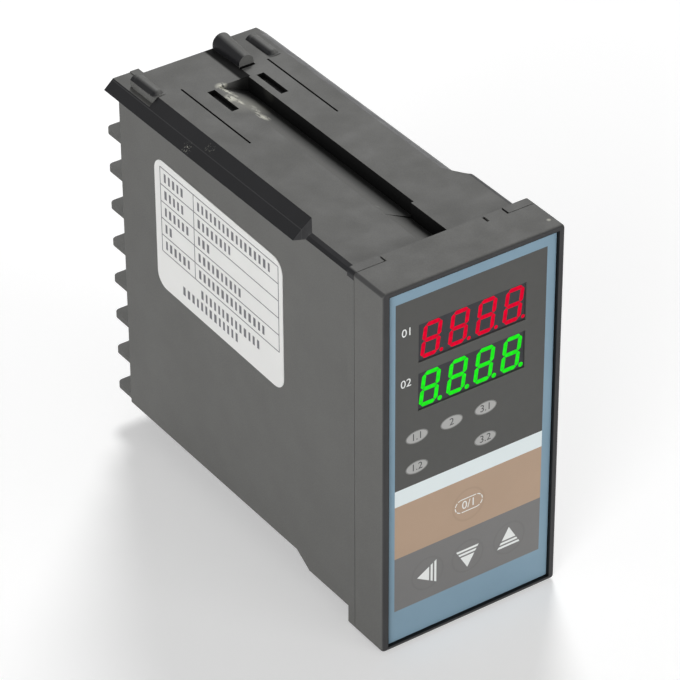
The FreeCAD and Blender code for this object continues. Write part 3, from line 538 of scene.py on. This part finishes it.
BLUE, DARK, WHITE, TAN, GREY = range(5)
FILM = [
    ink("film_blue", srgb(124, 151, 168)),
    ink("film_dark", srgb(72, 72, 70)),
    ink("film_white", srgb(222, 231, 232), 0.01),
    ink("film_tan", srgb(174, 149, 127), halos=True),
    ink("film_grey", srgb(115, 114, 113), halos=True),
]
FIELD_LEFT, FIELD_RIGHT, FIELD_TOP = -20.2, 19.8, 43.55
# the top of each stripe of the field, and its colour
STRIPES = [(FIELD_TOP, DARK), (-5.3, WHITE), (-9.6, TAN), (-23.8, GREY), (-38.4, BLUE)]
windows = [mm_box(name + "_display_module") for name in ("upper", "lower")]
WINDOW_RIM_X, WINDOW_RIM_Z = 0.75, 0.9


def region(x, z):
    """Colour of the film at a place: blue border, and the field's stripes inside it."""
    if x < FIELD_LEFT or x > FIELD_RIGHT or z > FIELD_TOP:
        return BLUE
    found = BLUE
    for top, kind in STRIPES:
        if z < top:
            found = kind
    return found


def build_film(bm):
    """Film in cells of one colour each, open over the two displays."""
    holes = []
    for low, high in windows:
        holes.append((low.x + WINDOW_RIM_X, high.x - WINDOW_RIM_X,
                      low.z + WINDOW_RIM_Z, high.z - WINDOW_RIM_Z))
    xs = sorted({sheet_low.x, sheet_high.x, FIELD_LEFT, FIELD_RIGHT, holes[0][0], holes[0][1]})
    zs = {sheet_low.z, sheet_high.z}
    for top, _ in STRIPES:
        zs.add(top)
    for hole in holes:
        zs.update(hole[2:])
    zs = sorted(zs)
    verts = {}

    def corner(x, z, y):
        key = (round(x, 4), round(z, 4), y)
        if key not in verts:
            verts[key] = bm.verts.new((x, y, z))
        return verts[key]

    solid = {}
    for i in range(len(xs) - 1):
        for j in range(len(zs) - 1):
            mx, mz = (xs[i] + xs[i + 1]) / 2, (zs[j] + zs[j + 1]) / 2
            if any(h[0] < mx < h[1] and h[2] < mz < h[3] for h in holes):
                continue
            solid[i, j] = region(mx, mz)
    front, rear = sheet_low.y, sheet_high.y
    for (i, j), kind in solid.items():
        ring = [(xs[i], zs[j]), (xs[i + 1], zs[j]), (xs[i + 1], zs[j + 1]), (xs[i], zs[j + 1])]
        near = bm.faces.new([corner(x, z, front) for x, z in ring])
        far = bm.faces.new([corner(x, z, rear) for x, z in reversed(ring)])
        near.material_index = far.material_index = kind
        for side, (a, b) in {(0, -1): (0, 1), (1, 0): (1, 2), (0, 1): (2, 3), (-1, 0): (3, 0)}.items():
            if (i + side[0], j + side[1]) not in solid:
                wall = bm.faces.new((corner(*ring[a], front), corner(*ring[a], rear),
                                     corner(*ring[b], rear), corner(*ring[b], front)))
                wall.material_index = kind


film = finish_mesh("printed_film", build_film, FILM, "inner_unit")
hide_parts("front_sheet")

# legends and symbols, a hair proud of the film
print_near = sheet_low.y - INK_MM
INKS = [ink("ink_pale_grey", srgb(168, 168, 166)), ink("ink_white", srgb(232, 234, 232)),
        ink("ink_dark_text", srgb(66, 66, 66)), ink("ink_rim_grey", srgb(122, 122, 120))]
PALE_GREY_INK, WHITE_INK, DARK_INK, RIM_INK = range(4)
LAMP_PLACES = [(-14.4, 7.35), (-5.14, 7.4), (4.0, 7.47), (-14.38, -0.8), (4.06, -0.78)]
LAMP_RIM, LAMP_FACE = (3.0, 1.65), (2.72, 1.42)
MODE_X, MODE_Z = -0.1, -16.9


def plate(bm, points, index, near=print_near):
    """Print on the film, with one of the inks."""
    slab(bm, points, near, sheet_low.y + LAP_MM, on_front, index)


def build_lamps(bm):
    for x, z in LAMP_PLACES:
        plate(bm, ellipse(x, z, *LAMP_RIM), RIM_INK)
        plate(bm, ellipse(x, z, *LAMP_FACE), PALE_GREY_INK, print_near - LAP_MM)


finish_mesh("indicator_prints", build_lamps, INKS, "inner_unit")


def key_symbol(bm, x, z, side, up):
    """Triangle whose lower part is cut into two bars; (side, up) turns the whole symbol."""
    half_width, height = 3.1, 5.25
    runs = (0.0, 0.62), (0.7, 0.81), (0.89, 1.0)
    for start, stop in runs:
        near, far = height * (0.5 - start), height * (0.5 - stop)
        flat = [(half_width * stop, far), (half_width * start, near), (-half_width * start, near),
                (-half_width * stop, far)]
        if start == 0.0:
            flat.pop(1)
        turned = [(x + p * side[0] + q * up[0], z + p * side[1] + q * up[1]) for p, q in flat]
        plate(bm, turned, WHITE_INK)


# each symbol's place, and where its side and its top point
KEY_SYMBOLS = [(-11.4, -31.7, (0, 1), (-1, 0)), (-0.25, -31.9, (1, 0), (0, -1)),
               (11.2, -31.0, (1, 0), (0, 1))]


def build_arrows(bm):
    for x, z, side, up in KEY_SYMBOLS:
        key_symbol(bm, x, z, side, up)


finish_mesh("arrow_prints", build_arrows, INKS, "inner_unit")


def build_set_ring(bm):
    """Dashed outline of a stadium shape round the mode key."""
    half, radius, line = 1.95, 1.75, 0.12
    count, dash, pitch = 96, 10, 12
    path = []
    for i in range(count):
        angle = i * math.tau / count
        nx, nz = math.cos(angle), math.sin(angle)
        cx = half if nx > 0 else -half
        path.append((cx + radius * nx, radius * nz, nx, nz))
    for start in range(0, count, pitch):
        run = [path[(start + k) % count] for k in range(dash)]
        outer = [(x + nx * line + MODE_X, z + nz * line + MODE_Z) for x, z, nx, nz in run]
        inner = [(x - nx * line + MODE_X, z - nz * line + MODE_Z) for x, z, nx, nz in reversed(run)]
        plate(bm, outer + inner, WHITE_INK)


finish_mesh("mode_key_ring", build_set_ring, INKS, "inner_unit")


SIZE_PER_HEIGHT = 1.37    # size of the built-in face for figures one unit high


def legend(name, words, x, z, height, material, body="inner_unit"):
    """Generic figures set in the built-in face, centred on (x, z)."""
    curve = bpy.data.curves.new(name, "FONT")
    curve.body = words
    curve.align_x = "CENTER"
    curve.align_y = "CENTER"
    curve.size = height * SIZE_PER_HEIGHT * MM
    curve.extrude = INK_MM * MM
    holder = bpy.data.objects.new(name, curve)
    bpy.context.scene.collection.objects.link(holder)
    bpy.context.view_layer.update()
    mesh = bpy.data.meshes.new_from_object(holder.evaluated_get(bpy.context.evaluated_depsgraph_get()))
    bpy.data.objects.remove(holder)
    turn = Matrix.Rotation(math.radians(90), 4, "X")
    mesh.transform(Matrix.Translation((x * MM, (print_near - LAP_MM) * MM, z * MM)) @ turn)
    mesh.materials.clear()
    mesh.materials.append(material)
    piece = bpy.data.objects.new(name, mesh)
    bpy.context.scene.collection.objects.link(piece)
    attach(piece, body)


INDICATOR_FIGURES = ["1.1", "2", "3.1", "1.2", "3.2"]
for number, (words, (x, z)) in enumerate(zip(INDICATOR_FIGURES, LAMP_PLACES), 1):
    legend(f"indicator_figure_{number}", words, x, z, 1.9, INKS[DARK_INK])
legend("upper_legend", "01", -17.2, 35.6, 2.1, INKS[WHITE_INK])
legend("lower_legend", "02", -17.4, 22.45, 2.1, INKS[WHITE_INK])
legend("mode_legend", "0/1", MODE_X, MODE_Z, 2.2, INKS[WHITE_INK])

# ------------------------------------------------------------------ rating label print
label_low, label_high = mm_box("rating_label")
LABEL_Y, LABEL_Z, LABEL_LENGTH, LABEL_HEIGHT, LABEL_RADIUS = 52.9, 17.3, 51.8, 34.8, 3.6
LABEL_TILT = 0.028        # rise per length: the label sits a little askew
CORNER_STEPS = 8
label_ink = ink("label_ink", srgb(104, 104, 108))


def on_label(u, v, depth):
    """Place on the label; u runs from its rear end to the front, v from its lower edge up."""
    y = LABEL_Y + LABEL_LENGTH / 2 - u
    return depth, y, LABEL_Z - LABEL_HEIGHT / 2 + v + (y - LABEL_Y) * LABEL_TILT


def build_label_film(bm):
    """Label with rounded corners."""
    corners = []
    for cu, cv, first in ((LABEL_LENGTH, LABEL_HEIGHT, 0), (0.0, LABEL_HEIGHT, 90), (0.0, 0.0, 180),
                          (LABEL_LENGTH, 0.0, 270)):
        mu = cu - LABEL_RADIUS if cu else LABEL_RADIUS
        mv = cv - LABEL_RADIUS if cv else LABEL_RADIUS
        for step in range(CORNER_STEPS + 1):
            angle = math.radians(first + step * 90 / CORNER_STEPS)
            corners.append((mu + LABEL_RADIUS * math.cos(angle), mv + LABEL_RADIUS * math.sin(angle)))
    slab(bm, corners, label_low.x, label_high.x, on_label)


label_film = finish_mesh("label_film", build_label_film, [MATERIALS["label_paper"]], "case")
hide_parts("rating_label")

# number of bars in each row's two cells; start, middle and number of bars of the two lines under the table
LABEL_ROWS = [(5, 17), (5, 8), (6, 3), (2, 10), (6, 15)]
LABEL_LINES = [(18.5, 7.2, 14), (10.8, 3.9, 13)]
BAR_NARROW, BAR_WIDE, BAR_GAP, BAR_HALF_HEIGHT, CELL_INDENT = 0.7, 1.0, 0.95, 1.15, 1.6


def build_label_print(bm):
    """The table's lines, with plain bars where the real label has words."""
    near, far = label_low.x - 0.01, label_low.x + LAP_MM
    left, divider, right = 2.4, 16.2, 50.2
    top, row = 32.9, 4.55
    line = 0.13
    chance = random.Random(7)

    def strip(u0, u1, v0, v1):
        slab(bm, rectangle(u0, u1, v0, v1), near, far, on_label)

    def words(start, middle, count):
        for _ in range(count):
            wide = chance.uniform(BAR_NARROW, BAR_WIDE)
            strip(start, start + wide, middle - BAR_HALF_HEIGHT, middle + BAR_HALF_HEIGHT)
            start += wide + BAR_GAP

    for r in range(len(LABEL_ROWS) + 1):
        strip(left, right, top - row * r - line, top - row * r + line)
    for u in (left, divider, right):
        strip(u - line, u + line, top - row * len(LABEL_ROWS), top)
    for r, (first, second) in enumerate(LABEL_ROWS):
        words(left + CELL_INDENT, top - row * (r + 0.5), first)
        words(divider + CELL_INDENT, top - row * (r + 0.5), second)
    for start, middle, count in LABEL_LINES:
        words(start, middle, count)


finish_mesh("label_print", build_label_print, [label_ink], "case")

# ------------------------------------------------------------------ low ridges on the top
RIDGE_RADIUS, RIDGE_END = 1.75, 1.4
RIDGE_FRONT, RIDGE_REAR = 84.3, 94.5
RIDGE_SINK, RIDGE_RISE = 0.7, 1.05      # how deep its axis lies, and how far it stands over the top
RIDGE_ALONG, RIDGE_AROUND = 24, 20
RIDGE_LEAST = 0.02                      # keeps the rings at its ends from closing to a point


def low_ridge(name, x, left_foot):
    """Half-round ridge with rounded ends, over the plain one of the case; its left foot may stand lower."""
    def build(bm):
        rows = []
        for i in range(RIDGE_ALONG + 1):
            y = RIDGE_FRONT + (RIDGE_REAR - RIDGE_FRONT) * i / RIDGE_ALONG
            gap = min(y - RIDGE_FRONT, RIDGE_REAR - y, RIDGE_END)
            size = math.sqrt(max(RIDGE_LEAST, 1 - ((RIDGE_END - gap) / RIDGE_END) ** 2))
            ring = [(x - RIDGE_RADIUS * size, left_foot)]
            for k in range(RIDGE_AROUND + 1):
                angle = math.pi * (1 - k / RIDGE_AROUND)
                ring.append((x + RIDGE_RADIUS * size * math.cos(angle),
                             TOP_MM - RIDGE_SINK + (RIDGE_RISE + RIDGE_SINK) * size * math.sin(angle)))
            rows.append([bm.verts.new((px, y, pz)) for px, pz in ring])
        for near, far in zip(rows, rows[1:]):
            for k in range(len(near) - 1):
                bm.faces.new((near[k], near[k + 1], far[k + 1], far[k]))
        for ring in (rows[0], rows[-1]):
            bm.faces.new(ring)
    finish_mesh(name, build, [MATERIALS["case_plastic"]], "case", smooth=True)


low_ridge("low_ridge_left", -16.85, TOP_MM - 1.7)
low_ridge("low_ridge_right", 14.65, TOP_MM - 0.3)

# ------------------------------------------------------------------ camera
AZIMUTH, ELEVATION, ROLL = (math.radians(angle) for angle in (-34.5557, 34.6419, -0.3044))
CAMERA_MM = (-417.67, -568.88, 507.45)
back = Vector((math.sin(AZIMUTH) * math.cos(ELEVATION), -math.cos(AZIMUTH) * math.cos(ELEVATION),
               math.sin(ELEVATION)))
camera_data = bpy.data.cameras.new("main_camera")
camera_data.sensor_width = 36.0
camera_data.lens = 208.55
camera_data.clip_start = 0.05
camera_data.clip_end = 20.0
camera = bpy.data.objects.new("main_camera", camera_data)
bpy.context.scene.collection.objects.link(camera)
camera.rotation_mode = "QUATERNION"
camera.location = Vector(CAMERA_MM) * MM
camera.rotation_quaternion = ((-back).to_track_quat("-Z", "Y")
                              @ Matrix.Rotation(ROLL, 3, "Z").to_quaternion())
bpy.context.scene.camera = camera

# ------------------------------------------------------------------ floor and light
FLOOR_DROP_MM, FLOOR_HALF, FLOOR_GLOW = 0.3, 2.5, 0.35
WORLD_LIGHT, WORLD_SEEN = 0.17, 1.0


def background_rays(tree):
    """1 for rays from the camera, from gloss and through clear material, which see the white background."""
    path = tree.nodes.new("ShaderNodeLightPath")
    seen = path.outputs["Is Camera Ray"]
    for ray in ("Is Glossy Ray", "Is Transmission Ray"):
        either = tree.nodes.new("ShaderNodeMath")
        either.operation = "MAXIMUM"
        tree.links.new(seen, either.inputs[0])
        tree.links.new(path.outputs[ray], either.inputs[1])
        seen = either.outputs[0]
    return seen


low, high = CAD_BOUNDS
bm = bmesh.new()
bmesh.ops.create_grid(bm, x_segments=8, y_segments=8, size=FLOOR_HALF)
floor_mesh = bpy.data.meshes.new("studio_floor")
bm.to_mesh(floor_mesh)
bm.free()
floor = bpy.data.objects.new("studio_floor", floor_mesh)
floor.location = (0, 0, low.z - FLOOR_DROP_MM * MM)
bpy.context.scene.collection.objects.link(floor)
floor_shader = Shader("studio_floor_white")
floor_shader.set(Base_Color=mottled(floor_shader, (0.82, 0.82, 0.82, 1.0), 0.01, 3.0), Roughness=0.8)
lit = floor_shader.math("MULTIPLY", background_rays(floor_shader.tree), FLOOR_GLOW)
floor_shader.set(Emission_Color=(1.0, 1.0, 1.0, 1.0), Emission_Strength=lit)
floor_mesh.materials.append(floor_shader.material)


def lamp(name, offset, size, power):
    """Round lamp at an offset from the part's centre, which it faces."""
    data = bpy.data.lights.new(name, "AREA")
    data.shape = "DISK"
    data.size = size
    data.energy = power
    obj = bpy.data.objects.new(name, data)
    bpy.context.scene.collection.objects.link(obj)
    centre = (low + high) / 2
    obj.location = centre + Vector(offset)
    obj.rotation_mode = "QUATERNION"
    obj.rotation_quaternion = (centre - obj.location).to_track_quat("-Z", "Y")


lamp("top_lamp", (0.7, 0.95, 1.0), 0.5, 15.0)
lamp("left_lamp", (-1.2, -0.85, 0.28), 0.8, 15.0)
lamp("front_lamp", (0.6, -1.4, 0.25), 0.8, 6.2)

world = bpy.data.worlds.new("studio")
bpy.context.scene.world = world
world.use_nodes = True
tree = world.node_tree
tree.nodes["Background"].inputs["Color"].default_value = (1, 1, 1, 1)
mixer = tree.nodes.new("ShaderNodeMix")
tree.links.new(background_rays(tree), mixer.inputs[0])
mixer.inputs[2].default_value = WORLD_LIGHT
mixer.inputs[3].default_value = WORLD_SEEN
tree.links.new(mixer.outputs[0], tree.nodes["Background"].inputs["Strength"])
bpy.context.scene.view_settings.view_transform = "Standard"
